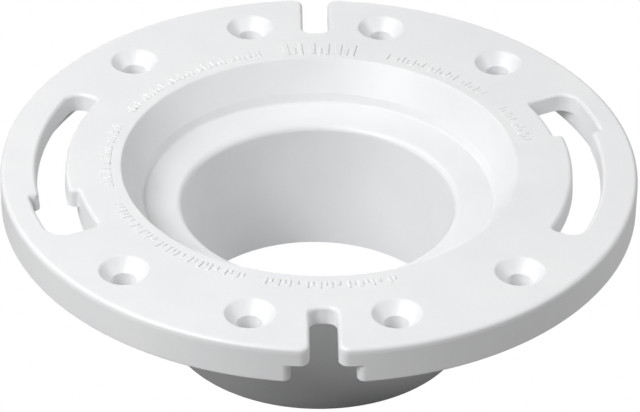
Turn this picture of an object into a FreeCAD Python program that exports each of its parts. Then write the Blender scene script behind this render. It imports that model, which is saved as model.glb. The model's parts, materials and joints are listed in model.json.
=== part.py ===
import FreeCAD, Part

import math
import os

from FreeCAD import Vector

# A toilet flange with a 3-inch spigot, in millimetres. It is one white PVC moulding, so each node below is
# one region of that moulding, cut where a crease or a change of duty lies, and neighbours meet face to face.
# The origin is the centre of the spigot's foot, +Z runs up the bore, and the straight slots lie on the Y axis.

INCH = 25.4

# Driving dimensions
HEIGHT = 2.15 * INCH
PLATE_R = 7.125 * INCH / 2
PLATE_T = 11.0
BOLT_CIRCLE_R = 3.0 * INCH
SPIGOT_R = 3.5 * INCH / 2
BORE_R = 77.9 / 2

# Heights worked out from them
TOP = HEIGHT
SKIN_T = PLATE_T / 2
SKIN_BOTTOM = TOP - SKIN_T
PLATE_BOTTOM = TOP - PLATE_T
RIM_EDGE_R = 1.3
AXIS_BASE = Vector(0, 0, 0)
AXIS_UP = Vector(0, 0, 1)
TOUCH = 0.01

# Recess, shoulder and spigot: radius and depth below the plate's top, with the radius of each rounded corner
RECESS_R = 56.3
RECESS_EDGE_R = 0.8
RECESS_FOOT = (51.0, 8.9)
STEP_FOOT = (50.7, 10.3)
DISH_TURN = (46.0, 12.5)
DISH_R = 22.0
BORE_EDGE_DEPTH = 13.1
BORE_EDGE_R = 2.0
FUNNEL_SEAM_R = RECESS_R + RECESS_EDGE_R
FUNNEL_TOP_OUTER_R = 58.4
FUNNEL_CORNER = (52.6, 15.4)
FUNNEL_CORNER_R = 3.5
SHOULDER_FOOT_DEPTH = 17.6
SHOULDER_FOOT_R = 3.0
RECESS_FOOT_R = 0.5
STEP_FOOT_R = 1.2
SPIGOT_SEAM_DEPTH = 21.5
SPIGOT_LEAD = 0.3

# Where the recess wall, shoulder and spigot are parted: a seam just past the step and another in the outer wall
STEP_SEAM = (49.65, 10.79)
OUTER_SEAM = (51.0, 16.4)
CLEAR = 2.0

# Straight slots for the closet bolts, open at the rim, with a wider track for the bolt head below
SLOT_HALF_W = 3.85
SLOT_END_R = 70.9
SLOT_CORNER_R = 2.8
HEAD_TRACK_HALF_W = 8.8
HEAD_TRACK_CORNER_R = 2.2

# Curved slots: a narrow run for the bolt's shank and a wide end that lets the bolt head through
CURVE_HALF_W = 4.1
KEY_HALF_W = 7.05
CURVE_HALF_ANGLE = 27.5
KEY_START_ANGLE = 12.0
SLOT_EDGE_R = 1.1
NARROW_END_OUTER_R = 4.0
KEY_END_OUTER_R = 5.5
END_INNER_R = 2.0
STEP_CONVEX_R = 1.6
STEP_CONCAVE_R = 0.9

# Screw holes, in degrees from +Y, and what stiffens the plate from below
NEAR_SCREW_ANGLE = 15.0
FAR_SCREW_ANGLE = 45.0
SCREW_HOLE_R = 3.5
COUNTERSINK_R = 6.9
BOSS_R = 6.9
TRACK_INNER_R = BOLT_CIRCLE_R - KEY_HALF_W
TRACK_OUTER_R = BOLT_CIRCLE_R + KEY_HALF_W
RAIL_T = 4.0
WEB_T = 3.0
GUSSET_T = 2.5
GUSSET_RISE = 2.5
GUSSET_STEP = 30.0
TRACK_STOP_ANGLE = 55.5
PRISM_MARGIN = 1.0

# Raised generic marks round the recess: ruler-like ticks, each as (width, share of the full length)
MARK_HEIGHT = 0.3
RING_MARK_INNER_R = 59.3
RING_MARK_LENGTH = 3.0
RING_MARK_GAP = 0.8
RING_GROUP_GAP = 2.0
RING_SPANS = ((11, 30), (37, 71), (106, 155), (162, 194), (201, 250), (255, 290))
RING_STROKES = ((0.7, 1.0), (0.7, 0.6), (1.3, 1.0), (0.7, 0.6), (0.7, 1.0), (1.3, 0.6))
PANEL_MARK_INNER_R = 58.2
PANEL_MARK_LENGTH = 6.0
PANEL_MARK_GAP = 1.1
PANEL_GROUP_GAP = 1.9
PANEL_SPAN = (79, 99.5)
PANEL_STROKES = ((1.0, 1.0), (1.0, 0.6), (1.8, 1.0))


def polar(radius, angle, z=0.0):
    """A point at a radius and an angle in degrees from +X."""
    turn = math.radians(angle)
    return Vector(radius * math.cos(turn), radius * math.sin(turn), z)


def save(node, shape):
    """Writes one node's STEP file."""
    shape.exportStep(f"parts/{node}.step")
    print(node, len(shape.Solids), "solid(s)", round(shape.Volume, 1), "mm3")


def rounded_face(corners):
    """A closed outline in the XZ plane through (r, z, corner radius), with each corner as a tangent arc."""
    ends = []
    for i, (r, z, radius) in enumerate(corners):
        here = Vector(r, 0, z)
        before = Vector(corners[i - 1][0], 0, corners[i - 1][1]) - here
        after = Vector(corners[(i + 1) % len(corners)][0], 0, corners[(i + 1) % len(corners)][1]) - here
        before.normalize()
        after.normalize()
        half_turn = (math.pi - before.getAngle(after)) / 2
        reach = radius * math.tan(half_turn)
        bisector = before + after
        bisector.normalize()
        middle = here + bisector * (radius / math.cos(half_turn) - radius)
        ends.append((here + before * reach, middle, here + after * reach, radius))
    edges = []
    for i, (start, middle, end, radius) in enumerate(ends):
        if radius > 0:
            edges.append(Part.Arc(start, middle, end).toShape())
        following = ends[(i + 1) % len(ends)][0]
        edges.append(Part.LineSegment(end, following).toShape())
    return Part.Face(Part.Wire(edges))


def flat_face(points):
    """A closed straight-sided outline in the XZ plane."""
    return rounded_face([(r, z, 0.0) for r, z in points])


def turned(face):
    """The solid that a face in the XZ plane sweeps round the bore's axis."""
    return face.revolve(AXIS_BASE, AXIS_UP, 360)


def ring(inner_r, outer_r, low, high):
    """A plain ring between two radii and two heights."""
    outer = Part.makeCylinder(outer_r, high - low, Vector(0, 0, low))
    return outer.cut(Part.makeCylinder(inner_r, high - low, Vector(0, 0, low)))


def sector(inner_r, outer_r, start, end, low, high):
    """A ring's stretch between two angles in degrees from +X."""
    middle = (start + end) / 2
    edges = [
        Part.Arc(polar(outer_r, start, low), polar(outer_r, middle, low), polar(outer_r, end, low)).toShape(),
        Part.LineSegment(polar(outer_r, end, low), polar(inner_r, end, low)).toShape(),
        Part.Arc(polar(inner_r, end, low), polar(inner_r, middle, low), polar(inner_r, start, low)).toShape(),
        Part.LineSegment(polar(inner_r, start, low), polar(outer_r, start, low)).toShape(),
    ]
    return Part.Face(Part.Wire(edges)).extrude(Vector(0, 0, high - low))


def upright_edge_near(solid, point):
    """The upright edge whose foot is nearest to a point seen from above."""
    def distance(edge):
        centre = edge.BoundBox.Center
        return math.hypot(centre.x - point.x, centre.y - point.y)

    upright = [edge for edge in solid.Edges if edge.BoundBox.ZLength > 0.9 * solid.BoundBox.ZLength]
    return min(upright, key=distance)


def round_upright(solid, corners):
    """Rounds upright edges: corners holds (point, radius) pairs."""
    for point, radius in corners:
        solid = solid.makeFillet(radius, [upright_edge_near(solid, point)])
    return solid


def straight_slot():
    """The front slot's prism, long enough to run out through the rim."""
    reach = PLATE_R + PRISM_MARGIN - SLOT_END_R
    corner = Vector(-SLOT_HALF_W, -SLOT_END_R - reach, PLATE_BOTTOM - PRISM_MARGIN)
    prism = Part.makeBox(2 * SLOT_HALF_W, reach, PLATE_T + 2 * PRISM_MARGIN, corner)
    ends = [(Vector(side * SLOT_HALF_W, -SLOT_END_R, 0), SLOT_CORNER_R) for side in (-1, 1)]
    return round_upright(prism, ends)


def curved_slot():
    """The left slot's prism: a narrow arc and its wide end towards the front, with rounded corners."""
    low, high = PLATE_BOTTOM - PRISM_MARGIN, TOP + PRISM_MARGIN
    inner, outer = BOLT_CIRCLE_R - CURVE_HALF_W, BOLT_CIRCLE_R + CURVE_HALF_W
    back_end = 180 - CURVE_HALF_ANGLE
    front_end = 180 + CURVE_HALF_ANGLE
    step = 180 + KEY_START_ANGLE
    narrow = sector(inner, outer, back_end, step + 1, low, high)
    wide = sector(TRACK_INNER_R, TRACK_OUTER_R, step, front_end, low, high)
    prism = narrow.fuse(wide).removeSplitter()
    corners = [
        (polar(outer, back_end), NARROW_END_OUTER_R),
        (polar(inner, back_end), END_INNER_R),
        (polar(TRACK_OUTER_R, front_end), KEY_END_OUTER_R),
        (polar(TRACK_INNER_R, front_end), END_INNER_R),
        (polar(TRACK_OUTER_R, step), STEP_CONCAVE_R),
        (polar(TRACK_INNER_R, step), STEP_CONCAVE_R),
        (polar(outer, step), STEP_CONVEX_R),
        (polar(inner, step), STEP_CONVEX_R),
    ]
    return round_upright(prism, corners)


def opposite(shape):
    """The same shape turned half a turn about the bore's axis."""
    turned_copy = shape.copy()
    turned_copy.rotate(AXIS_BASE, AXIS_UP, 180)
    return turned_copy


def screw_points(z=0.0):
    """The eight screw holes: 15 and 45 degrees each side of the straight slots."""
    angles = (NEAR_SCREW_ANGLE, FAR_SCREW_ANGLE)
    return [polar(BOLT_CIRCLE_R, face + side * a, z) for face in (90, 270) for a in angles for side in (-1, 1)]


def screw_cutter(point):
    """A through hole with a 90-degree countersink."""
    depth = COUNTERSINK_R - SCREW_HOLE_R
    foot = Vector(point.x, point.y, PLATE_BOTTOM - PRISM_MARGIN)
    hole = Part.makeCylinder(SCREW_HOLE_R, PLATE_T + 2 * PRISM_MARGIN, foot)
    cone = Part.makeCone(SCREW_HOLE_R, COUNTERSINK_R, depth, Vector(point.x, point.y, TOP - depth))
    return hole.fuse(cone)


def mounting_plate():
    """The flat upper skin: slots, screw holes and countersinks, with its top edges rounded."""
    outline = [
        (FUNNEL_SEAM_R, TOP),
        (PLATE_R, TOP),
        (PLATE_R, SKIN_BOTTOM),
        (FUNNEL_TOP_OUTER_R, SKIN_BOTTOM),
    ]
    plate = turned(flat_face(outline))
    front_slot, left_slot = straight_slot(), curved_slot()
    plate = plate.cut([front_slot, opposite(front_slot)]).Solids[0]
    mouth_y = math.sqrt(PLATE_R**2 - SLOT_HALF_W**2)
    mouths = [(Vector(x * SLOT_HALF_W, y * mouth_y, 0), SLOT_CORNER_R) for x in (-1, 1) for y in (-1, 1)]
    plate = round_upright(plate, mouths)
    outer_edges = [e for e in plate.Edges if on_top(e) and not on_inner_circle(e)]
    plate = plate.makeFillet(RIM_EDGE_R, outer_edges)
    plate = plate.cut([left_slot, opposite(left_slot)])
    slot_edges = [e for e in plate.Edges if on_top(e) and in_curved_slot(e)]
    plate = plate.makeFillet(SLOT_EDGE_R, slot_edges)
    return plate.cut([screw_cutter(point) for point in screw_points()])


def on_top(edge):
    """True for an edge that lies in the plate's top plane."""
    return edge.BoundBox.ZMin > TOP - TOUCH


def on_inner_circle(edge):
    """True for the circle where the plate meets the recess."""
    return all(math.hypot(v.X, v.Y) < FUNNEL_SEAM_R + TOUCH for v in edge.Vertexes)


def in_curved_slot(edge):
    """True for a top edge on a curved slot's outline."""
    low, high = TRACK_INNER_R - TOUCH, TRACK_OUTER_R + TOUCH
    return all(abs(v.X) > SPIGOT_R and low < math.hypot(v.X, v.Y) < high for v in edge.Vertexes)


def head_track_gap():
    """The bolt-head track under both straight slots, as a prism right through the rim."""
    reach = PLATE_R + PRISM_MARGIN
    corner = Vector(-HEAD_TRACK_HALF_W, -reach, PLATE_BOTTOM - PRISM_MARGIN)
    return Part.makeBox(2 * HEAD_TRACK_HALF_W, 2 * reach, SKIN_T + PRISM_MARGIN, corner)


def rim_band():
    """The full-depth wall under the plate's edge, in two arcs that stop at the bolt-head tracks."""
    band = ring(TRACK_OUTER_R, PLATE_R, PLATE_BOTTOM, SKIN_BOTTOM).cut(head_track_gap())
    mouth_y = math.sqrt(PLATE_R**2 - HEAD_TRACK_HALF_W**2)
    mouths = [(Vector(x * HEAD_TRACK_HALF_W, y * mouth_y, 0), HEAD_TRACK_CORNER_R) for x in (-1, 1) for y in (-1, 1)]
    return round_upright(band, mouths)


def inner_rail():
    """The inner wall of the bolt-head channel, in two arcs."""
    rail = ring(TRACK_INNER_R - RAIL_T, TRACK_INNER_R, PLATE_BOTTOM, SKIN_BOTTOM)
    return rail.cut(head_track_gap())


def channel_ring():
    """The space between the inner rail and the rim band, used to trim what spans it."""
    return ring(TRACK_INNER_R, TRACK_OUTER_R, PLATE_BOTTOM, SKIN_BOTTOM)


def slot_rails():
    """Four straight walls beside the bolt-head tracks, from the inner rail to the rim band."""
    walls = []
    for x in (-HEAD_TRACK_HALF_W - WEB_T, HEAD_TRACK_HALF_W):
        for y in (-PLATE_R, TRACK_INNER_R - RAIL_T):
            length = PLATE_R - TRACK_INNER_R + RAIL_T
            wall = Part.makeBox(WEB_T, length, SKIN_T, Vector(x, y, PLATE_BOTTOM))
            walls.append(wall.common(channel_ring()))
    return Part.makeCompound(walls)


def screw_bosses():
    """Eight tubes that carry the screw holes down to the floor."""
    bosses = []
    for point in screw_points(PLATE_BOTTOM):
        boss = Part.makeCylinder(BOSS_R, SKIN_T, point)
        bosses.append(boss.cut(Part.makeCylinder(SCREW_HOLE_R, SKIN_T, point)))
    return Part.makeCompound(bosses)


def channel_webs():
    """Eight radial webs across the channel: between the screws, and as end stops of the curved tracks."""
    webs = []
    for face in (90, 270):
        for angle in (2 * NEAR_SCREW_ANGLE, TRACK_STOP_ANGLE):
            for side in (-1, 1):
                web = Part.makeBox(PLATE_R, WEB_T, SKIN_T, Vector(0, -WEB_T / 2, PLATE_BOTTOM))
                web.rotate(AXIS_BASE, AXIS_UP, face + side * angle)
                webs.append(web.common(channel_ring()))
    return Part.makeCompound(webs)


def body_section():
    """Half the section of the recess wall, shoulder and spigot, as one outline with its rounded corners."""
    return rounded_face([
        (FUNNEL_SEAM_R + CLEAR, TOP, 0.0),
        (RECESS_R, TOP, RECESS_EDGE_R),
        (RECESS_FOOT[0], TOP - RECESS_FOOT[1], RECESS_FOOT_R),
        (STEP_FOOT[0], TOP - STEP_FOOT[1], STEP_FOOT_R),
        (DISH_TURN[0], TOP - DISH_TURN[1], DISH_R),
        (BORE_R, TOP - BORE_EDGE_DEPTH, BORE_EDGE_R),
        (BORE_R, 0.0, 0.0),
        (SPIGOT_R - SPIGOT_LEAD, 0.0, 0.0),
        (SPIGOT_R, 2 * SPIGOT_LEAD, 0.0),
        (SPIGOT_R, TOP - SHOULDER_FOOT_DEPTH, SHOULDER_FOOT_R),
        (FUNNEL_CORNER[0], TOP - FUNNEL_CORNER[1], FUNNEL_CORNER_R),
        (FUNNEL_TOP_OUTER_R, SKIN_BOTTOM, 0.0),
    ])


def region(points):
    """The part of the body's section inside a straight-sided outline, turned round the bore."""
    return turned(body_section().common(flat_face(points)).Faces[0])


def recess_funnel():
    """The sloping wall of the recess, from the plate's inner edge to the foot of the step."""
    return region([
        (FUNNEL_SEAM_R, TOP + CLEAR),
        (STEP_SEAM[0] - 1, TOP + CLEAR),
        (STEP_SEAM[0], TOP - STEP_SEAM[1]),
        (OUTER_SEAM[0], TOP - OUTER_SEAM[1]),
        (FUNNEL_TOP_OUTER_R + CLEAR, TOP - OUTER_SEAM[1]),
        (FUNNEL_TOP_OUTER_R, SKIN_BOTTOM),
        (FUNNEL_SEAM_R, TOP),
    ])


def shoulder_dish():
    """The dished shoulder that leads from the step to the bore."""
    return region([
        (BORE_R - CLEAR, TOP),
        (STEP_SEAM[0] - 1, TOP + CLEAR),
        (STEP_SEAM[0], TOP - STEP_SEAM[1]),
        (OUTER_SEAM[0], TOP - OUTER_SEAM[1]),
        (OUTER_SEAM[0], TOP - SPIGOT_SEAM_DEPTH),
        (BORE_R - CLEAR, TOP - SPIGOT_SEAM_DEPTH),
    ])


def pipe_spigot():
    """The 3-inch spigot, with a small break round its foot."""
    return region([
        (BORE_R - CLEAR, TOP - SPIGOT_SEAM_DEPTH),
        (SPIGOT_R + CLEAR, TOP - SPIGOT_SEAM_DEPTH),
        (SPIGOT_R + CLEAR, -CLEAR),
        (BORE_R - CLEAR, -CLEAR),
    ])


def outermost(solid):
    """How far from the bore's axis a solid's middle lies."""
    return math.hypot(solid.CenterOfMass.x, solid.CenterOfMass.y)


def funnel_gussets(funnel):
    """Twelve small webs that tie the recess wall to the inner rail."""
    foot_z = TOP - FUNNEL_CORNER[1] + GUSSET_RISE
    outline = flat_face([
        (FUNNEL_CORNER[0] - 1, SKIN_BOTTOM),
        (TRACK_INNER_R - RAIL_T / 2, SKIN_BOTTOM),
        (TRACK_INNER_R - RAIL_T / 2, PLATE_BOTTOM),
        (FUNNEL_CORNER[0] + 1, foot_z),
        (FUNNEL_CORNER[0] - 1, foot_z),
    ])
    web = outline.extrude(Vector(0, GUSSET_T, 0))
    web.translate(Vector(0, -GUSSET_T / 2, 0))
    gussets = []
    for i in range(int(360 / GUSSET_STEP)):
        gusset = web.copy()
        gusset.rotate(AXIS_BASE, AXIS_UP, GUSSET_STEP * (i + 0.5))
        pieces = gusset.cut(funnel).cut(inner_rail()).Solids
        gussets.append(max(pieces, key=outermost))
    return Part.makeCompound(gussets)


def mark_row(span, inner_r, length, strokes, gap, group_gap):
    """Raised ticks side by side along an arc, with width and length taken in turn from a short cycle of strokes."""
    angle, end = span
    middle_r = inner_r + length / 2
    ticks = []
    while True:
        width, share = strokes[len(ticks) % len(strokes)]
        width_angle = math.degrees(width / middle_r)
        if angle + width_angle > end:
            return ticks
        outer_r = inner_r + share * length
        ticks.append(sector(inner_r, outer_r, angle, angle + width_angle, TOP, TOP + MARK_HEIGHT))
        space = gap if len(ticks) % len(strokes) else group_gap
        angle += width_angle + math.degrees(space / middle_r)


def raised_ring_marks():
    """Rows of plain raised ticks round the recess, where such a moulding carries its data."""
    ticks = []
    for span in RING_SPANS:
        ticks += mark_row(span, RING_MARK_INNER_R, RING_MARK_LENGTH, RING_STROKES, RING_MARK_GAP, RING_GROUP_GAP)
    return Part.makeCompound(ticks)


def raised_panel_marks():
    """A short row of taller plain ticks behind the recess."""
    return Part.makeCompound(mark_row(
        PANEL_SPAN, PANEL_MARK_INNER_R, PANEL_MARK_LENGTH, PANEL_STROKES, PANEL_MARK_GAP, PANEL_GROUP_GAP
    ))


os.makedirs("parts", exist_ok=True)
recess = recess_funnel()
save("mounting_plate", mounting_plate())
save("rim_band", rim_band())
save("inner_rail", inner_rail())
save("slot_rails", slot_rails())
save("screw_bosses", screw_bosses())
save("channel_webs", channel_webs())
save("recess_funnel", recess)
save("shoulder_dish", shoulder_dish())
save("pipe_spigot", pipe_spigot())
save("funnel_gussets", funnel_gussets(recess))
save("raised_ring_marks", raised_ring_marks())
save("raised_panel_marks", raised_panel_marks())
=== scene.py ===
# %% [markdown]
# A toilet flange, as a lesson in hard-surface modelling with numpy.
# The real thing is one moulding in white PVC: a slotted plate to screw to the floor, a recess for the
# toilet's outlet, and a 3-inch spigot below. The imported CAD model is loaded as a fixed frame, and every
# surface is then made again here, finer and with its edges rounded, in the same place.
# %% Load the fixed frame
import json
import math

import bpy
import numpy as np
from mathutils import Matrix, Vector
from mathutils.geometry import delaunay_2d_cdt


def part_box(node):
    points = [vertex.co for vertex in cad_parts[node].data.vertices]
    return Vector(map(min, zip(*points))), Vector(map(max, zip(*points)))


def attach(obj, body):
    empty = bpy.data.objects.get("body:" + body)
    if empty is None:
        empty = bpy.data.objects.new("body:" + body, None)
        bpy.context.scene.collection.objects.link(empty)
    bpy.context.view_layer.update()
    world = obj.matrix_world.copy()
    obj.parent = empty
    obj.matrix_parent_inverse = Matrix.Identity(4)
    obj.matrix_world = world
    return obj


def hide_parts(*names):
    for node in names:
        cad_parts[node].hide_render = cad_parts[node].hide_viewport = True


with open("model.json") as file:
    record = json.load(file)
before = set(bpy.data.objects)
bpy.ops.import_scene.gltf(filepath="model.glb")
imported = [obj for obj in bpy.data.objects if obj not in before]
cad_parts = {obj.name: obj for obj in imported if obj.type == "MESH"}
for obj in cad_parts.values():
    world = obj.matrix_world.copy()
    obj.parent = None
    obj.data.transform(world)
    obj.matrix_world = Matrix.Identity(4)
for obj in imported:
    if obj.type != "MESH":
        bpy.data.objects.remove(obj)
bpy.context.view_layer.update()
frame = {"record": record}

# %% [markdown]
# Sizes come from the frame wherever a CAD node's box can give them, and the rest are the moulding's own
# roundings and wall thicknesses. They are all in metres. Reading them from the frame means that a change in
# the design moves the looks with it.
# %% Sizes read from the frame
MM = 0.001
plate_low, plate_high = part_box("mounting_plate")
band_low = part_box("rim_band")[0]
rail_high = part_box("inner_rail")[1]
spigot_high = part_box("pipe_spigot")[1]

TOP = plate_high.z
SKIN_BOTTOM = plate_low.z
PLATE_BOTTOM = band_low.z
PLATE_R = min(plate_high.x, -plate_low.x)
SPIGOT_R = spigot_high.x
SPIGOT_SEAM = spigot_high.z
BOLT_CIRCLE_R = 76.2 * MM
KEY_HALF_W = BOLT_CIRCLE_R - rail_high.x
mounts = {mount["name"]: mount for mount in frame["record"]["mounts"]}
BORE_R = mounts["waste_bore"]["dims"]["r_mm"] * MM
SCREW_HOLE_R = mounts["near_screws"]["dims"]["hole_r_mm"] * MM
print("plate radius", round(PLATE_R / MM, 2), "mm, top at", round(TOP / MM, 2), "mm")

# %% [markdown]
# Every edge of a moulding is rounded, so every outline here is made of straight runs and arcs that know which
# way the plastic lies. An outline is a pair of arrays: its points, and at each point a unit vector into the
# plastic. With that vector a whole rounded edge is one sum, so no Bevel modifier is needed and each radius is
# exactly what it should be. An outline always travels with the plastic on its left.
# %% Outlines made of arcs and straight runs
ARC_STEP = math.radians(6)
SUPPORT = 0.3 * MM
SAME_POINT = 1e-3 * MM


def arc(centre, radius, start, end, step=ARC_STEP):
    """Points round a circle from one angle to another, in radians. The plastic is on the left, so an
    anticlockwise arc's vectors point at its centre and a clockwise one's point away from it."""
    count = max(3, int(math.ceil(abs(end - start) / step)) + 1)
    angle = np.linspace(start, end, count)
    spoke = np.stack([np.cos(angle), np.sin(angle)], axis=1)
    return np.asarray(centre) + radius * spoke, (spoke if end < start else -spoke)


def straight(start, end):
    """A straight run with a point close to each end, which keeps the shading of a flat side flat."""
    start, end = np.asarray(start, float), np.asarray(end, float)
    along = (end - start) / np.linalg.norm(end - start)
    points = np.stack([start, start + SUPPORT * along, end - SUPPORT * along, end])
    return points, np.tile([-along[1], along[0]], (4, 1))


def joined(*runs):
    """One closed outline from runs laid end to end, with points that repeat left out."""
    points = np.concatenate([run[0] for run in runs])
    normals = np.concatenate([run[1] for run in runs])
    keep = np.linalg.norm(points - np.roll(points, 1, axis=0), axis=1) > SAME_POINT
    return points[keep], normals[keep]


def circle(radius, count, centre=(0.0, 0.0), hole=False):
    """A whole circle: anticlockwise as an outer edge, clockwise as the edge of a hole."""
    turn = (2 * math.pi, 0.0) if hole else (0.0, 2 * math.pi)
    points, normals = arc(centre, radius, *turn, step=2 * math.pi / count)
    return points[:-1], normals[:-1]


def rounded_polygon(corners, step=ARC_STEP, supported=True):
    """A closed outline through (x, y, radius) corners. Each arc touches its two sides at the corner's
    radius times the tangent of half the turn there, and a corner of radius 0 stays one sharp point."""
    corners = np.asarray(corners, float)
    here, radii = corners[:, :2], corners[:, 2]
    side = np.roll(here, -1, axis=0) - here
    length = np.linalg.norm(side, axis=1)
    ahead = side / length[:, None]
    before = np.roll(ahead, 1, axis=0)
    turn = np.arctan2(before[:, 0] * ahead[:, 1] - before[:, 1] * ahead[:, 0], (before * ahead).sum(axis=1))
    reach = radii * np.tan(np.abs(turn) / 2)
    room = length - reach - np.roll(reach, -1)
    left = np.stack([-ahead[:, 1], ahead[:, 0]], axis=1)
    runs = []
    for i, radius in enumerate(radii):
        if radius == 0:
            inward = left[i] + left[i - 1]
            runs.append((here[[i]], inward[None] / np.linalg.norm(inward)))
            continue
        centre = here[i] - before[i] * reach[i] + left[i - 1] * math.copysign(radius, turn[i])
        start = math.atan2(*(here[i] - before[i] * reach[i] - centre)[::-1])
        points, normals = arc(centre, radius, start, start + turn[i], step)
        if supported and min(room[i - 1], room[i]) > 3 * SUPPORT:
            first, last = points[:1] - before[i] * SUPPORT, points[-1:] + ahead[i] * SUPPORT
            points = np.concatenate([first, points, last])
            normals = np.concatenate([normals[:1], normals, normals[-1:]])
        runs.append((points, normals))
    return joined(*runs)


def divided(outline, longest=1.2 * MM):
    """The same outline with extra points, so that no step is longer than the given length."""
    points, normals = outline
    following, next_normals = np.roll(points, -1, axis=0), np.roll(normals, -1, axis=0)
    parts = np.ceil(np.linalg.norm(following - points, axis=1) / longest).astype(int)
    start = np.repeat(np.arange(len(points)), parts)
    share = ((np.arange(parts.sum()) - np.repeat(np.cumsum(parts) - parts, parts)) / parts[start])[:, None]
    between = normals[start] * (1 - share) + next_normals[start] * share
    between /= np.linalg.norm(between, axis=1, keepdims=True)
    return points[start] * (1 - share) + following[start] * share, between


def bent(outline, radius, middle=0.0):
    """Bends an outline drawn as (radius, distance along the arc) round the bore. The angle is the
    distance divided by the arc's radius, and the vector into the plastic turns with it."""
    points, normals = outline
    angle = middle + points[:, 1] / radius
    spoke = np.stack([np.cos(angle), np.sin(angle)], axis=1)
    across = np.stack([-np.sin(angle), np.cos(angle)], axis=1)
    inward = normals[:, :1] * spoke + normals[:, 1:] * radius / points[:, :1] * across
    return points[:, :1] * spoke, inward / np.linalg.norm(inward, axis=1, keepdims=True)


def half_turned(outline):
    """The same outline on the other side of the bore."""
    return -outline[0], -outline[1]


print("one rounded corner takes", len(arc((0, 0), MM, 0, math.pi / 2)[0]), "points")

# %% [markdown]
# Two kinds of surface make the whole flange. A turned surface carries a closed profile round the bore. A slab
# carries a rounded edge along each of its outlines, the outer one and those of its holes, and closes the flat
# top and bottom between them. Both are closed grids, so there is no seam and no pole to mend. A solid is kept
# as three arrays, its points, its quads and its triangles, until it becomes a mesh.
# %% Turned surfaces and slabs
TURN_STEPS = 288
SHARP_ANGLE = math.radians(32)
WELD_MM = 1e-5
NO_TRIANGLES = np.zeros((0, 3), int)


def turned(profile, steps=TURN_STEPS):
    """The profile's (radius, height) carried round the Z axis: x is the radius times the cosine of the
    turn, and y is the radius times its sine. The profile runs anticlockwise round the plastic."""
    turn = np.linspace(0, 2 * math.pi, steps, endpoint=False)[:, None]
    radius, height = profile[:, 0][None], profile[:, 1][None]
    grid = np.stack(np.broadcast_arrays(radius * np.cos(turn), radius * np.sin(turn), height), axis=-1)
    index = np.arange(steps * len(profile)).reshape(steps, len(profile))
    ahead = np.roll(index, -1, axis=0)
    quads = np.stack([index, ahead, np.roll(ahead, -1, axis=1), np.roll(index, -1, axis=1)], axis=-1)
    return grid.reshape(-1, 3), quads.reshape(-1, 4), NO_TRIANGLES


def skirt(outline, offsets, heights):
    """A wall along an outline: each point moves into the plastic by its offset and stands at its height."""
    points, normals = outline
    rows = (len(points), np.shape(heights)[-1])
    offsets, heights = np.broadcast_to(offsets, rows), np.broadcast_to(heights, rows)
    flat = points[:, None] + offsets[..., None] * normals[:, None]
    return np.concatenate([flat, heights[..., None]], axis=-1)


def inside(points, loop):
    """True for each point that lies inside a loop: a ray to its right crosses the loop an odd number of
    times."""
    x, y = points[:, :1], points[:, 1:]
    (x0, y0), (x1, y1) = loop.T, np.roll(loop, -1, axis=0).T
    spans = (y0 > y) != (y1 > y)
    level = np.where(y1 == y0, 1, y1 - y0)
    return (spans & (x < x0 + (x1 - x0) * (y - y0) / level)).sum(axis=1) % 2 == 1


def flat_fill(loops, points, upwards):
    """Triangles between an outer loop and the loops of its holes, all facing up or all facing down. The
    loops are edges that a Delaunay triangulation has to keep, and its triangles outside the plastic are
    dropped."""
    order = np.concatenate(loops)
    flat = points[order, :2] / MM
    counts = np.cumsum([0] + [len(loop) for loop in loops])
    edges = np.concatenate([
        np.stack([np.arange(start, end), np.roll(np.arange(start, end), -1)], axis=1)
        for start, end in zip(counts[:-1], counts[1:])
    ])
    filled = delaunay_2d_cdt([Vector(point) for point in flat], edges.tolist(), [], 0, WELD_MM)
    source = np.array([found[0] for found in filled[3]])
    triangles = source[np.array(filled[2])]
    a, b, c = (flat[triangles[:, corner]] for corner in range(3))
    middle = (a + b + c) / 3
    outer, *holes = [flat[start:end] for start, end in zip(counts[:-1], counts[1:])]
    kept = inside(middle, outer)
    for hole in holes:
        kept &= ~inside(middle, hole)
    turn = (b - a)[:, 0] * (c - a)[:, 1] - (b - a)[:, 1] * (c - a)[:, 0]
    wrong = (turn < 0) == upwards
    triangles[wrong] = triangles[wrong][:, ::-1]
    return order[triangles[kept]]


def combined(*solids):
    """Several solids as the arrays of one."""
    starts = np.cumsum([0] + [len(solid[0]) for solid in solids])
    return (
        np.concatenate([solid[0] for solid in solids]),
        np.concatenate([solid[1] + start for solid, start in zip(solids, starts)]),
        np.concatenate([solid[2] + start for solid, start in zip(solids, starts)]),
    )


def slab(*skirts):
    """One closed solid. The first skirt is its outer wall, the rest line its holes, and each runs from
    the top to the bottom."""
    walls, tops, bottoms, count = [], [], [], 0
    for grid in skirts:
        index = np.arange(grid.shape[0] * grid.shape[1]).reshape(grid.shape[:2])
        ahead = np.roll(index, -1, axis=0)
        quads = np.stack([index[:, :-1], index[:, 1:], ahead[:, 1:], ahead[:, :-1]], axis=-1)
        walls.append((grid.reshape(-1, 3), quads.reshape(-1, 4), NO_TRIANGLES))
        tops.append(count + index[:, 0])
        bottoms.append(count + index[:, -1])
        count += index.size
    points, quads, triangles = combined(*walls)
    return points, quads, np.concatenate([flat_fill(tops, points, True), flat_fill(bottoms, points, False)])


def placed(solid, matrix):
    """The same solid moved by a 4 by 4 matrix: each point times the turn, plus the shift."""
    matrix = np.array(matrix)
    return solid[0] @ matrix[:3, :3].T + matrix[:3, 3], solid[1], solid[2]


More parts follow.
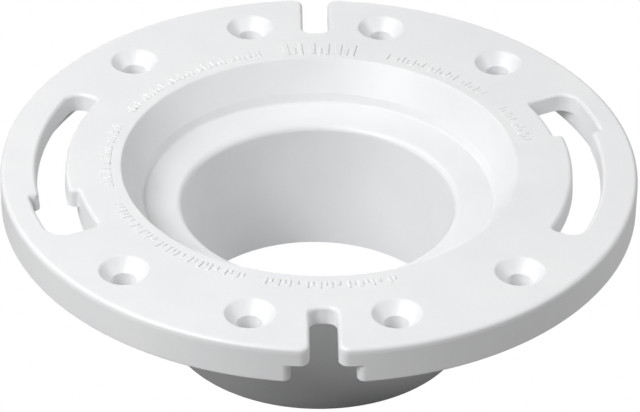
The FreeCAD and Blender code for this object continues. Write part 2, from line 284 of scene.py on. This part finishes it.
def rounded_wall(outline, top, bottom, top_radius=None, foot_radius=0.0, support=SUPPORT, levels=9, draft=0.0):
    """A wall whose top edge is a quarter circle: its offset is the radius times one less the sine of the
    angle, and its drop is the radius times one less the cosine. The foot is the same, upside down. Either
    may be left square. The draft is how far the wall leans out of the plastic by its foot, in proportion
    to its depth."""
    level = np.zeros((1, 1))
    offsets, heights = [level], [level + top]
    if top_radius is not None:
        radius = np.reshape(top_radius, (-1, 1))
        level = np.zeros_like(radius)
        angle = np.linspace(0, math.pi / 2, levels)
        offsets = [radius + support, radius * (1 - np.sin(angle)), level]
        heights = [level + top, top - radius * (1 - np.cos(angle)), top - radius - support]
    if foot_radius > 0:
        angle = np.linspace(0, math.pi / 2, 5)
        offsets += [level, level + foot_radius * (1 - np.cos(angle)), level + foot_radius + support]
        heights += [level + bottom + foot_radius + support]
        heights += [level + bottom + foot_radius * (1 - np.sin(angle)), level + bottom]
    else:
        offsets.append(level)
        heights.append(level + bottom)
    offsets, heights = np.concatenate(offsets, axis=1), np.concatenate(heights, axis=1)
    return skirt(outline, offsets - draft * (top - heights) / (top - bottom), heights)


def add_piece(name, solid, node, material):
    """Puts finished arrays into a mesh that rides with the flange and stands for one CAD node."""
    points, quads, triangles = solid
    mesh = bpy.data.meshes.new(name)
    mesh.from_pydata(points.tolist(), [], quads.tolist() + triangles.tolist())
    mesh.polygons.foreach_set("use_smooth", np.ones(len(mesh.polygons), bool))
    mesh.set_sharp_from_angle(angle=SHARP_ANGLE)
    mesh.validate()
    mesh.materials.append(material)
    piece = bpy.data.objects.new(name, mesh)
    bpy.context.scene.collection.objects.link(piece)
    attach(piece, "root")
    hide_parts(node)
    print(name, "has", len(mesh.vertices), "points and", len(mesh.polygons), "faces")
    return piece


print("a turned surface takes", TURN_STEPS, "steps round the bore")

# %% [markdown]
# The whole flange is moulded PVC in a bright, very slightly cool white. Its skin is semi-matte: the mould was
# blasted, which leaves a fine pebble, and handling and the flow of the plastic leave faint broad changes in
# shade and gloss. Layers of noise on Object coordinates give all three, and they keep their place on the part
# whichever way it is seen.
# %% White PVC
PEBBLE_SIZE = 0.5 * MM
PEBBLE_HEIGHT = 0.02 * MM
WAVINESS_SIZE = 9 * MM
WAVINESS_HEIGHT = 0.15 * MM
WAVINESS_STRENGTH = 0.25
SHADE_SIZE = 22 * MM
PVC_IOR = 1.53


def noise(nodes, links, coordinates, size, detail):
    """A noise pattern whose features are about the given size."""
    texture = nodes.new("ShaderNodeTexNoise")
    texture.inputs["Scale"].default_value = 1 / size
    texture.inputs["Detail"].default_value = detail
    links.new(coordinates, texture.inputs["Vector"])
    return texture.outputs["Fac"]


def ramp(nodes, links, pattern, dark, light, spread=(0.3, 0.7)):
    """Turns a pattern from 0 to 1 into a colour between two ends."""
    node = nodes.new("ShaderNodeValToRGB")
    for element, place, colour in zip(node.color_ramp.elements, spread, (dark, light)):
        element.position = place
        element.color = (*colour, 1)
    links.new(pattern, node.inputs["Fac"])
    return node.outputs["Color"]


def moulded_pvc(name, dark, light, roughness, pebble):
    """White PVC with faint changes of shade and gloss, a pebbled skin, and a slight waviness under it."""
    material = bpy.data.materials.new(name)
    material.use_nodes = True
    nodes, links = material.node_tree.nodes, material.node_tree.links
    shader = nodes["Principled BSDF"]
    coordinates = nodes.new("ShaderNodeTexCoord").outputs["Object"]
    shade = noise(nodes, links, coordinates, SHADE_SIZE, 4)
    links.new(ramp(nodes, links, shade, dark, light), shader.inputs["Base Color"])
    gloss = noise(nodes, links, coordinates, WAVINESS_SIZE, 5)
    dull, shiny = (3 * (value,) for value in roughness)
    links.new(ramp(nodes, links, gloss, dull, shiny), shader.inputs["Roughness"])
    shader.inputs["IOR"].default_value = PVC_IOR
    shader.inputs["Specular IOR Level"].default_value = 0.5
    waves = nodes.new("ShaderNodeBump")
    waves.inputs["Strength"].default_value = WAVINESS_STRENGTH
    waves.inputs["Distance"].default_value = WAVINESS_HEIGHT
    links.new(noise(nodes, links, coordinates, WAVINESS_SIZE, 1), waves.inputs["Height"])
    grain = nodes.new("ShaderNodeBump")
    grain.inputs["Strength"].default_value = pebble
    grain.inputs["Distance"].default_value = PEBBLE_HEIGHT
    links.new(noise(nodes, links, coordinates, PEBBLE_SIZE, 2), grain.inputs["Height"])
    links.new(waves.outputs["Normal"], grain.inputs["Normal"])
    links.new(grain.outputs["Normal"], shader.inputs["Normal"])
    return material


WHITE_DARK = (0.845, 0.852, 0.862)
WHITE_LIGHT = (0.885, 0.890, 0.897)
pvc = moulded_pvc("white_pvc", WHITE_DARK, WHITE_LIGHT, roughness=(0.46, 0.36), pebble=0.35)
mark_pvc = moulded_pvc("white_pvc_marks", WHITE_DARK, WHITE_LIGHT, roughness=(0.40, 0.32), pebble=0.15)
print("materials:", pvc.name, mark_pvc.name)

# %% [markdown]
# The upper skin is a flat ring with every opening cut through it: two straight bolt slots, open at the rim,
# two curved slots with a wide end that lets a bolt's head through, and eight countersunk screw holes. It
# could be cut with booleans, but their edges would then need cleaning before they could be rounded. As a
# slab, each opening is one outline, and its rounded edge comes with it.
# %% Outlines of the straight slots
SLOT_HALF_W = 3.85 * MM
SLOT_END_R = 70.9 * MM
SLOT_CORNER_R = 2.8 * MM
RIM_STEP = 2.2 * MM


def notched_circle(radius, half_width, notch_end, mouth_r, corner_r):
    """A circle with a straight notch at front and back. Each mouth is an arc that touches both the circle
    and the notch's side, so its centre is one mouth radius from each."""
    mouth_x = half_width + mouth_r
    mouth_y = math.sqrt((radius - mouth_r) ** 2 - mouth_x**2)
    rim_angle = math.atan2(mouth_y, mouth_x)
    corner_x, corner_y = half_width - corner_r, notch_end + corner_r
    right = joined(
        arc((0, 0), radius, -rim_angle, rim_angle, step=2 * math.pi / TURN_STEPS),
        arc((mouth_x, mouth_y), mouth_r, rim_angle, math.pi),
        straight((half_width, mouth_y), (half_width, corner_y)),
        arc((corner_x, corner_y), corner_r, 0, -math.pi / 2),
        straight((corner_x, notch_end), (-corner_x, notch_end)),
        arc((-corner_x, corner_y), corner_r, -math.pi / 2, -math.pi),
        straight((-half_width, corner_y), (-half_width, mouth_y)),
        arc((-mouth_x, mouth_y), mouth_r, 0, math.pi - rim_angle),
    )
    return joined(right, half_turned(right))


rim_outline = notched_circle(PLATE_R, SLOT_HALF_W, SLOT_END_R, SLOT_CORNER_R, SLOT_CORNER_R)
plate_outline = divided(rim_outline, RIM_STEP)
print("plate outline:", len(plate_outline[0]), "points")

# %% [markdown]
# A closet bolt drops its head through the wide end of a curved slot and then slides along the narrow run. The
# outline is easiest to draw unrolled, as radius against distance along the bolt circle, where its sides are
# straight. It is then bent round the bore.
# %% Outlines of the curved slots
CURVE_HALF_W = 4.3 * MM
CURVE_END = math.radians(27.5) * BOLT_CIRCLE_R
KEY_START = math.radians(12.0) * BOLT_CIRCLE_R
INNER_END_R = 2.0 * MM
NARROW_OUTER_R = 4.2 * MM
KEY_OUTER_R = 5.5 * MM
STEP_FILLET_R = 1.6 * MM
STEP_CORNER_R = 0.9 * MM


def curved_slot(middle):
    """One curved slot, seen as a hole, with its wide end on the anticlockwise side."""
    narrow_in, narrow_out = BOLT_CIRCLE_R - CURVE_HALF_W, BOLT_CIRCLE_R + CURVE_HALF_W
    wide_in, wide_out = BOLT_CIRCLE_R - KEY_HALF_W, BOLT_CIRCLE_R + KEY_HALF_W
    unrolled = rounded_polygon([
        (narrow_in, -CURVE_END, INNER_END_R),
        (narrow_in, KEY_START, STEP_FILLET_R),
        (wide_in, KEY_START, STEP_CORNER_R),
        (wide_in, CURVE_END, INNER_END_R),
        (wide_out, CURVE_END, KEY_OUTER_R),
        (wide_out, KEY_START, STEP_CORNER_R),
        (narrow_out, KEY_START, STEP_FILLET_R),
        (narrow_out, -CURVE_END, NARROW_OUTER_R),
    ])
    return bent(divided(unrolled), BOLT_CIRCLE_R, middle)


slot_outlines = [curved_slot(math.pi), curved_slot(0.0)]
print("curved slot outline:", len(slot_outlines[0][0]), "points")

# %% [markdown]
# Each screw hole has a 90-degree countersink with a softened lip, because a sharp lip would chip and would
# catch no light. The plate's edge is rounder at the rim, where it is handled, than in the slots. A hair's
# breadth below that edge the mould's halves meet, and leave a tiny step. The curved slots narrow a little
# towards their foot, which is the draft that lets the part leave its mould.
# %% The mounting plate
RIM_EDGE_R = 1.3 * MM
SLOT_EDGE_R = 1.1 * MM
SLOT_DRAFT = 0.35 * MM
SLOT_SUPPORT = 0.15 * MM
PARTING_STEP = 0.04 * MM
PARTING_DROPS = (0.20 * MM, 0.30 * MM, 0.50 * MM)
RIM_ZONE = (4 * MM, 0.5 * MM)
COUNTERSINK_R = 6.9 * MM
LIP_R = 0.9 * MM
SCREW_STEPS = 64
FUNNEL_SEAM_R = 57.1 * MM
FUNNEL_TOP_OUTER_R = 58.4 * MM
SCREW_SPREADS = (15, 45)
SCREW_ANGLES = np.radians([face + side * a for face in (90, 270) for a in SCREW_SPREADS for side in (-1, 1)])
screw_centres = BOLT_CIRCLE_R * np.stack([np.cos(SCREW_ANGLES), np.sin(SCREW_ANGLES)], axis=1)


def screw_wall(centre):
    """The countersink's wall: a lip that is an eighth of a circle, a 45-degree cone, and the plain hole
    below."""
    depth = COUNTERSINK_R - SCREW_HOLE_R
    lip_middle = depth + LIP_R * math.tan(math.pi / 8)
    angle = np.linspace(math.pi / 2, 3 * math.pi / 4, 5)
    strip = SUPPORT * math.cos(math.pi / 4)
    lip_offsets, lip_heights = lip_middle + LIP_R * np.cos(angle), TOP - LIP_R + LIP_R * np.sin(angle)
    offsets = [lip_middle + SUPPORT, *lip_offsets, lip_offsets[-1] - strip, strip, 0, 0]
    heights = [TOP, *lip_heights, lip_heights[-1] - strip, TOP - depth + strip, TOP - depth, SKIN_BOTTOM]
    return skirt(circle(SCREW_HOLE_R, SCREW_STEPS, centre, hole=True), np.array(offsets), np.array(heights))


def rim_skirt(outline):
    """The plate's outer wall. Its edge radius and the parting step both grow from the slots to the rim,
    by each point's distance from the bore."""
    zone = [PLATE_R - distance for distance in RIM_ZONE]
    share = np.interp(np.linalg.norm(outline[0], axis=1), zone, [0, 1])[:, None]
    radius = SLOT_EDGE_R + (RIM_EDGE_R - SLOT_EDGE_R) * share
    angle = np.linspace(0, math.pi / 2, 9)
    step = PARTING_STEP * share
    level = np.zeros_like(share)
    offsets = [step + radius + SUPPORT, step + radius * (1 - np.sin(angle)), step, level, level, level]
    heights = [level + TOP, TOP - radius * (1 - np.cos(angle))]
    heights += [TOP - radius - drop for drop in PARTING_DROPS]
    heights.append(level + SKIN_BOTTOM)
    return skirt(outline, np.concatenate(offsets, axis=1), np.concatenate(heights, axis=1))


seam = skirt(
    circle(FUNNEL_SEAM_R, TURN_STEPS, hole=True),
    np.array([0, FUNNEL_TOP_OUTER_R - FUNNEL_SEAM_R]),
    np.array([TOP, SKIN_BOTTOM]),
)
plate = slab(
    rim_skirt(plate_outline),
    *[
        rounded_wall(hole, TOP, SKIN_BOTTOM, SLOT_EDGE_R, support=SLOT_SUPPORT, draft=SLOT_DRAFT)
        for hole in slot_outlines
    ],
    *[screw_wall(centre) for centre in screw_centres],
    seam,
)
add_piece("plate_skin", plate, "mounting_plate", pvc)

# %% [markdown]
# Below the skin the plate is hollow, so that every wall is about as thick and the moulding doesn't sink as it
# cools. A full-depth wall runs round the rim, and a rail runs inside the slots. Between them is the channel
# that the bolt heads slide in, and both walls stop where a bolt head enters from the rim.
# %% Rim wall and track rail
HEAD_TRACK_HALF_W = 8.8 * MM
HEAD_TRACK_CORNER_R = 2.2 * MM
TRACK_CORNER_R = 1.0 * MM
FOOT_EDGE_R = 0.5 * MM
RAIL_T = 4.0 * MM
TRACK_INNER_R = BOLT_CIRCLE_R - KEY_HALF_W
TRACK_OUTER_R = BOLT_CIRCLE_R + KEY_HALF_W


def band(inner_r, outer_r, gap, outer_corner, inner_corner):
    """The right half of a ring that stops short of the Y axis by the gap. Each corner's arc touches the
    circle and the gap's side."""
    def corner_place(radius, corner):
        return gap + corner, math.sqrt(radius**2 - (gap + corner) ** 2)

    outer_x, outer_y = corner_place(outer_r - outer_corner, outer_corner)
    inner_x, inner_y = corner_place(inner_r + inner_corner, inner_corner)
    outer_angle, inner_angle = math.atan2(outer_y, outer_x), math.atan2(inner_y, inner_x)
    step = 2 * math.pi / TURN_STEPS
    return joined(
        arc((0, 0), outer_r, -outer_angle, outer_angle, step),
        arc((outer_x, outer_y), outer_corner, outer_angle, math.pi),
        straight((gap, outer_y), (gap, inner_y)),
        arc((inner_x, inner_y), inner_corner, math.pi, math.pi + inner_angle),
        arc((0, 0), inner_r, inner_angle, -inner_angle, step),
        arc((inner_x, -inner_y), inner_corner, math.pi - inner_angle, math.pi),
        straight((gap, -inner_y), (gap, -outer_y)),
        arc((outer_x, -outer_y), outer_corner, math.pi, 2 * math.pi - outer_angle),
    )


def under_skin(outline, foot=PLATE_BOTTOM, foot_radius=FOOT_EDGE_R):
    """A solid that hangs from the skin's underside, with its foot rounded."""
    return slab(rounded_wall(outline, SKIN_BOTTOM, foot, foot_radius=foot_radius))


rim_half = band(TRACK_OUTER_R, PLATE_R, HEAD_TRACK_HALF_W, HEAD_TRACK_CORNER_R, TRACK_CORNER_R)
rail_half = band(TRACK_INNER_R - RAIL_T, TRACK_INNER_R, HEAD_TRACK_HALF_W, TRACK_CORNER_R, TRACK_CORNER_R)
rim_halves = combined(under_skin(rim_half), under_skin(half_turned(rim_half)))
rail_halves = combined(under_skin(rail_half), under_skin(half_turned(rail_half)))
add_piece("rim_wall", rim_halves, "rim_band", pvc)
add_piece("track_rail", rail_halves, "inner_rail", pvc)

# %% [markdown]
# Three kinds of rib cross the channel. Straight walls guide the bolt heads in from the rim, radial webs
# stiffen the skin between the screws, and a tube round each screw hole carries the screw's load straight to
# the floor. Each rib is a slab whose ends run a little way into its neighbours, as if the plastic had
# flowed together, and its foot stops just short of the rim's foot, so that the plate bears on its rim, its
# rail and its sleeves.
# %% Slot walls, screw sleeves and webs
WEB_T = 3.0 * MM
RIB_FOOT = PLATE_BOTTOM + 0.3 * MM
INTO = 1.0 * MM
RIB_CORNER_R = 0.9 * MM
BOSS_R = 6.9 * MM
BOSS_FOOT_R = 0.4 * MM
WEB_SPREADS = (30, 55.5)
WEB_ANGLES = np.radians([face + side * a for face in (90, 270) for a in WEB_SPREADS for side in (-1, 1)])


def bar(low, high):
    """A straight rib's outline between two corners, anticlockwise, with its upright edges rounded."""
    (x0, y0), (x1, y1) = low, high
    return rounded_polygon([(x, y, RIB_CORNER_R) for x, y in ((x0, y0), (x1, y0), (x1, y1), (x0, y1))])


wall_side = (HEAD_TRACK_HALF_W, HEAD_TRACK_HALF_W + WEB_T)
wall_near = math.sqrt(TRACK_INNER_R**2 - wall_side[0] ** 2) - INTO
wall_far = math.sqrt(TRACK_OUTER_R**2 - wall_side[1] ** 2) + INTO
right_wall = under_skin(bar((wall_side[0], wall_near), (wall_side[1], wall_far)), RIB_FOOT)
left_wall = under_skin(bar((-wall_side[1], wall_near), (-wall_side[0], wall_far)), RIB_FOOT)
half_turn = Matrix.Rotation(math.pi, 4, "Z")
slot_walls = [right_wall, left_wall, placed(right_wall, half_turn), placed(left_wall, half_turn)]
add_piece("slot_walls", combined(*slot_walls), "slot_rails", pvc)


def sleeve(centre):
    """A tube under a screw hole. Its foot is the seat that the screw pulls down to the floor."""
    outer = circle(BOSS_R, SCREW_STEPS, centre)
    inner = circle(SCREW_HOLE_R, SCREW_STEPS, centre, hole=True)
    return slab(*[
        rounded_wall(outline, SKIN_BOTTOM, PLATE_BOTTOM, foot_radius=BOSS_FOOT_R)
        for outline in (outer, inner)
    ])


add_piece("screw_sleeves", combined(*[sleeve(centre) for centre in screw_centres]), "screw_bosses", pvc)

web = under_skin(bar((TRACK_INNER_R - INTO, -WEB_T / 2), (TRACK_OUTER_R + INTO, WEB_T / 2)), RIB_FOOT)
webs = [placed(web, Matrix.Rotation(angle, 4, "Z")) for angle in WEB_ANGLES]
add_piece("cross_webs", combined(*webs), "channel_webs", pvc)

# %% [markdown]
# The recess, the dished shoulder and the spigot are all turned shapes. Their sections are polygons with a
# radius at each corner: a small one at the plate's edge, a steep step with soft corners at the foot of the
# recess, and a very large one where the shoulder dishes towards the bore. The recess takes the wax ring,
# and the shoulder leads the outlet's water into the bore without a ledge.
# %% Recess, shoulder and spigot
RECESS_LIP = (56.3, 0, 0.8)
STEP_TOP = (50.9, 8.95, 0.5)
STEP_FOOT = (50.1, 11.75, 1.0)
STEP_SEAM = (49.1, 11.95, 0)
OUTER_SEAM = (51.0, 15.83, 0)
OUTER_BEND = (52.6, 15.4, 3.5)
SHOULDER_BEND = (46.0, 12.55, 22.0)
BORE_EDGE_DEPTH, BORE_EDGE_R = 13.1, 2.0
HUB_TOP_DEPTH, HUB_TOP_R = 17.6, 3.0
SPIGOT_SEAM_DEPTH = (TOP - SPIGOT_SEAM) / MM
FOOT_DEPTH = TOP / MM
LEAD_IN = 0.3
FOOT_EDGE_RS = (0.25, 0.2, 0.3)
BORE_MM, SPIGOT_MM, SEAM_MM = BORE_R / MM, SPIGOT_R / MM, FUNNEL_SEAM_R / MM


def section(*corners):
    """A closed section from (radius, depth below the plate's top, corner radius) in millimetres."""
    in_metres = [(radius * MM, TOP - depth * MM, corner * MM) for radius, depth, corner in corners]
    return rounded_polygon(in_metres)[0]


recess = section(
    (SEAM_MM, 0, 0),
    RECESS_LIP,
    STEP_TOP,
    STEP_FOOT,
    STEP_SEAM,
    OUTER_SEAM,
    OUTER_BEND,
    (FUNNEL_TOP_OUTER_R / MM, (TOP - SKIN_BOTTOM) / MM, 0),
)
dish = section(
    STEP_SEAM,
    SHOULDER_BEND,
    (BORE_MM, BORE_EDGE_DEPTH, BORE_EDGE_R),
    (BORE_MM, SPIGOT_SEAM_DEPTH, 0),
    (SPIGOT_MM, SPIGOT_SEAM_DEPTH, 0),
    (SPIGOT_MM, HUB_TOP_DEPTH, HUB_TOP_R),
    OUTER_SEAM,
)
bore_edge_r, lead_low_r, lead_high_r = FOOT_EDGE_RS
spigot = section(
    (BORE_MM, SPIGOT_SEAM_DEPTH, 0),
    (BORE_MM, FOOT_DEPTH, bore_edge_r),
    (SPIGOT_MM - LEAD_IN, FOOT_DEPTH, lead_low_r),
    (SPIGOT_MM, FOOT_DEPTH - 2 * LEAD_IN, lead_high_r),
    (SPIGOT_MM, SPIGOT_SEAM_DEPTH, 0),
)
add_piece("recess_wall", turned(recess), "recess_funnel", pvc)
add_piece("shoulder", turned(dish), "shoulder_dish", pvc)
add_piece("spigot_tube", turned(spigot), "pipe_spigot", pvc)

# %% [markdown]
# Twelve small gussets tie the recess wall to the rail, so that the plate doesn't bend when the bolts pull it
# down. Each is a slab drawn as it looks from the side, then stood up and turned to its place.
# %% Gussets
GUSSET_T = 2.5 * MM
GUSSET_COUNT = 12
GUSSET_ANGLES = np.radians((np.arange(GUSSET_COUNT) + 0.5) * 360 / GUSSET_COUNT)
GUSSET_TOP = SKIN_BOTTOM + 0.5 * MM
GUSSET_TOP_R, GUSSET_FOOT_R = 57.4 * MM, 53.0 * MM
GUSSET_FOOT = TOP - 12.9 * MM
GUSSET_EDGE_R = 0.3 * MM
GUSSET_SUPPORT = 0.1 * MM
gusset_side = rounded_polygon([
    (GUSSET_TOP_R, GUSSET_TOP, 0),
    (GUSSET_FOOT_R, GUSSET_FOOT, 0),
    (TRACK_INNER_R - RAIL_T + INTO, RIB_FOOT, 0),
    (TRACK_INNER_R - RAIL_T + INTO, GUSSET_TOP, 0),
])
gusset_faces = (GUSSET_T / 2, -GUSSET_T / 2)
flat_gusset = slab(rounded_wall(gusset_side, *gusset_faces, GUSSET_EDGE_R, GUSSET_EDGE_R, GUSSET_SUPPORT))
standing = placed(flat_gusset, Matrix.Rotation(math.pi / 2, 4, "X"))
gussets = [placed(standing, Matrix.Rotation(angle, 4, "Z")) for angle in GUSSET_ANGLES]
add_piece("gusset_webs", combined(*gussets), "funnel_gussets", pvc)

# %% [markdown]
# Such a moulding carries raised data round its recess. Here it is plain ticks, like the divisions of a
# ruler, so nothing can be read. Each tick is drawn unrolled, bent to its ring, and given a soft top edge.
# Its foot goes a little into the skin, as moulded marks grow out of it.
# %% Raised marks
MARK_HEIGHT = 0.3 * MM
MARK_SINK = 0.2 * MM
MARK_EDGE_R = 0.14 * MM
MARK_CORNER_R = 0.27 * MM
RING_SPANS = ((11, 30), (37, 71), (106, 155), (162, 194), (201, 250), (255, 290))
RING_STROKES = ((0.7, 1.0), (0.7, 0.6), (1.3, 1.0), (0.7, 0.6), (0.7, 1.0), (1.3, 0.6))
RING_INNER_R, RING_LENGTH = 59.3 * MM, 3.0 * MM
RING_GAPS = (0.8 * MM, 2.0 * MM)
PANEL_SPAN = (79, 99.5)
PANEL_STROKES = ((1.0, 1.0), (1.0, 0.6), (1.8, 1.0))
PANEL_INNER_R, PANEL_LENGTH = 58.2 * MM, 6.0 * MM
PANEL_GAPS = (1.1 * MM, 1.9 * MM)
TICK_ARC_STEP = math.radians(23)
TICK_SUPPORT = 0.03 * MM
TICK_LEVELS = 4


def tick(inner_r, length, angle, width):
    """One raised tick: a rounded bar on an arc, from an angle onwards."""
    corners = ((inner_r, 0), (inner_r + length, 0), (inner_r + length, width), (inner_r, width))
    bar_outline = rounded_polygon([(r, along, MARK_CORNER_R) for r, along in corners], TICK_ARC_STEP, False)
    outline = bent(bar_outline, inner_r + length / 2, angle)
    top, bottom = TOP + MARK_HEIGHT, TOP - MARK_SINK
    return slab(rounded_wall(outline, top, bottom, MARK_EDGE_R, support=TICK_SUPPORT, levels=TICK_LEVELS))


def tick_row(span, inner_r, length, strokes, gaps):
    """Ticks side by side along an arc, with width and length taken in turn from a short cycle of strokes. The
    second gap is the wider one, after each whole cycle."""
    start, end = np.radians(span)
    gap, group_gap = gaps
    ticks, angle, middle_r = [], start, inner_r + length / 2
    while True:
        width, share = strokes[len(ticks) % len(strokes)]
        if angle + width * MM / middle_r > end:
            return ticks
        ticks.append(tick(inner_r, share * length, angle, width * MM))
        angle += (width * MM + (gap if len(ticks) % len(strokes) else group_gap)) / middle_r


ring_ticks = []
for span in RING_SPANS:
    ring_ticks += tick_row(span, RING_INNER_R, RING_LENGTH, RING_STROKES, RING_GAPS)
panel_ticks = tick_row(PANEL_SPAN, PANEL_INNER_R, PANEL_LENGTH, PANEL_STROKES, PANEL_GAPS)
add_piece("ring_marks", combined(*ring_ticks), "raised_ring_marks", mark_pvc)
add_piece("panel_marks", combined(*panel_ticks), "raised_panel_marks", mark_pvc)

# %% [markdown]
# The flange stands on a white light table, which glows evenly, so the floor is as pale as paper. The floor
# shows only to the camera: its own glow would light the hollow underside too much. A black ring lies round
# the spigot's foot and is hidden from the camera. It keeps some of the light from below off the spigot, as
# the plate's own shadow on a real table would, and the spigot darkens towards its foot.
# %% Light table
FLOOR_HALF = 3.0
FLOOR_Z = -0.2 * MM
SHADE_R = 57 * MM
SHADE_Z = -0.1 * MM


def sheet(name, points, faces, glow):
    """A flat black sheet that gives off the given amount of light."""
    material = bpy.data.materials.new(name)
    material.use_nodes = True
    shader = material.node_tree.nodes["Principled BSDF"]
    shader.inputs["Base Color"].default_value = (0, 0, 0, 1)
    shader.inputs["Specular IOR Level"].default_value = 0
    shader.inputs["Emission Color"].default_value = (1, 1, 1, 1)
    shader.inputs["Emission Strength"].default_value = glow
    mesh = bpy.data.meshes.new(name)
    mesh.from_pydata(points, [], faces)
    mesh.materials.append(material)
    flat = bpy.data.objects.new(name, mesh)
    bpy.context.scene.collection.objects.link(flat)
    return flat


floor_corners = [(x * FLOOR_HALF, y * FLOOR_HALF, FLOOR_Z) for x, y in ((-1, -1), (1, -1), (1, 1), (-1, 1))]
floor = sheet("light_table", floor_corners, [(0, 1, 2, 3)], glow=1.0)
floor.visible_diffuse = False
floor.visible_glossy = False
floor.visible_shadow = False

rings = np.concatenate([circle(radius, SCREW_STEPS)[0] for radius in (SPIGOT_R, SHADE_R)])
here = np.arange(SCREW_STEPS)
ahead = np.roll(here, -1)
ring_faces = np.stack([here, ahead, ahead + SCREW_STEPS, here + SCREW_STEPS], axis=1)
shade = sheet("plate_shade", [(x, y, SHADE_Z) for x, y in rings], ring_faces.tolist(), glow=0.0)
shade.visible_camera = False
print("floor spans", 2 * FLOOR_HALF, "m and the shade", 2 * SHADE_R, "m")

# %% [markdown]
# Soft boxes give most of the light. The key stands at the left and front and gives the forms their shading,
# and weaker boxes fill in from the left, the right and behind. The world stands for the light that comes up
# off the white table: it is brightest below the horizon and fades out a little above it.
# %% Soft studio light
SET_CENTRE = Vector((0, 0, TOP))
SOFTBOX_DISTANCE = 1.2
SOFTBOX_SIZE = 0.6
SOFTBOXES = (
    ("left_front_key", -45, 45, 10.9),
    ("left_side", -90, 45, 2.7),
    ("left_back", -135, 45, 2.6),
    ("right_side", 90, 45, 4.5),
    ("right_low", 90, 12, 1.3),
    ("back_low", 180, 12, 1.5),
)
TABLE_LIGHT = 0.37
TABLE_LIGHT_FROM, TABLE_LIGHT_TO = -0.15, 0.25


def softbox(name, azimuth, elevation, power):
    """A square area light aimed at the flange. Azimuth 0 is in front, on -Y, and it grows towards the
    right."""
    turn, lift = math.radians(azimuth), math.radians(elevation)
    away = Vector((math.sin(turn) * math.cos(lift), -math.cos(turn) * math.cos(lift), math.sin(lift)))
    data = bpy.data.lights.new(name, "AREA")
    data.shape = "SQUARE"
    data.size = SOFTBOX_SIZE
    data.energy = power
    light = bpy.data.objects.new(name, data)
    light.location = SET_CENTRE + SOFTBOX_DISTANCE * away
    light.rotation_euler = away.to_track_quat("Z", "Y").to_euler()
    bpy.context.scene.collection.objects.link(light)


for name, azimuth, elevation, power in SOFTBOXES:
    softbox(name, azimuth, elevation, power)

world = bpy.data.worlds.new("light_off_the_table")
bpy.context.scene.world = world
world.use_nodes = True
nodes, links = world.node_tree.nodes, world.node_tree.links
direction = nodes.new("ShaderNodeTexCoord").outputs["Generated"]
split = nodes.new("ShaderNodeSeparateXYZ")
links.new(direction, split.inputs[0])
fade = nodes.new("ShaderNodeMapRange")
fade.inputs["From Min"].default_value = TABLE_LIGHT_FROM
fade.inputs["From Max"].default_value = TABLE_LIGHT_TO
fade.inputs["To Min"].default_value = TABLE_LIGHT
fade.inputs["To Max"].default_value = 0.0
links.new(split.outputs["Z"], fade.inputs["Value"])
nodes["Background"].inputs["Color"].default_value = (1, 1, 1, 1)
links.new(fade.outputs["Result"], nodes["Background"].inputs["Strength"])
bpy.context.scene.view_settings.view_transform = "Standard"
print("lights:", len(bpy.data.lights))

# %% [markdown]
# The camera looks down at about 34 degrees from a little over a metre away with a long lens, so the plate's
# far edge is nearly as wide as its near one. It is rolled by about one degree.
# %% Camera
LENS_MM = 205.42
SENSOR_MM = 36.0
CLIP_NEAR, CLIP_FAR = 0.05, 20.0
CAMERA_PLACE = Vector((-20.807 * MM, -867.292 * MM, TOP + 570.066 * MM))
CAMERA_AIM = Vector((-0.134 * MM, -22.468 * MM, TOP))
CAMERA_ROLL = math.radians(0.941)

camera_data = bpy.data.cameras.new("camera")
camera_data.lens = LENS_MM
camera_data.sensor_width = SENSOR_MM
camera_data.clip_start = CLIP_NEAR
camera_data.clip_end = CLIP_FAR
camera = bpy.data.objects.new("camera", camera_data)
bpy.context.scene.collection.objects.link(camera)
sight = (CAMERA_AIM - CAMERA_PLACE).to_track_quat("-Z", "Y").to_matrix().to_4x4()
camera.matrix_world = Matrix.Translation(CAMERA_PLACE) @ sight @ Matrix.Rotation(CAMERA_ROLL, 4, "Z")
bpy.context.scene.camera = camera
print("camera is", round((CAMERA_AIM - CAMERA_PLACE).length, 3), "m from its aim")
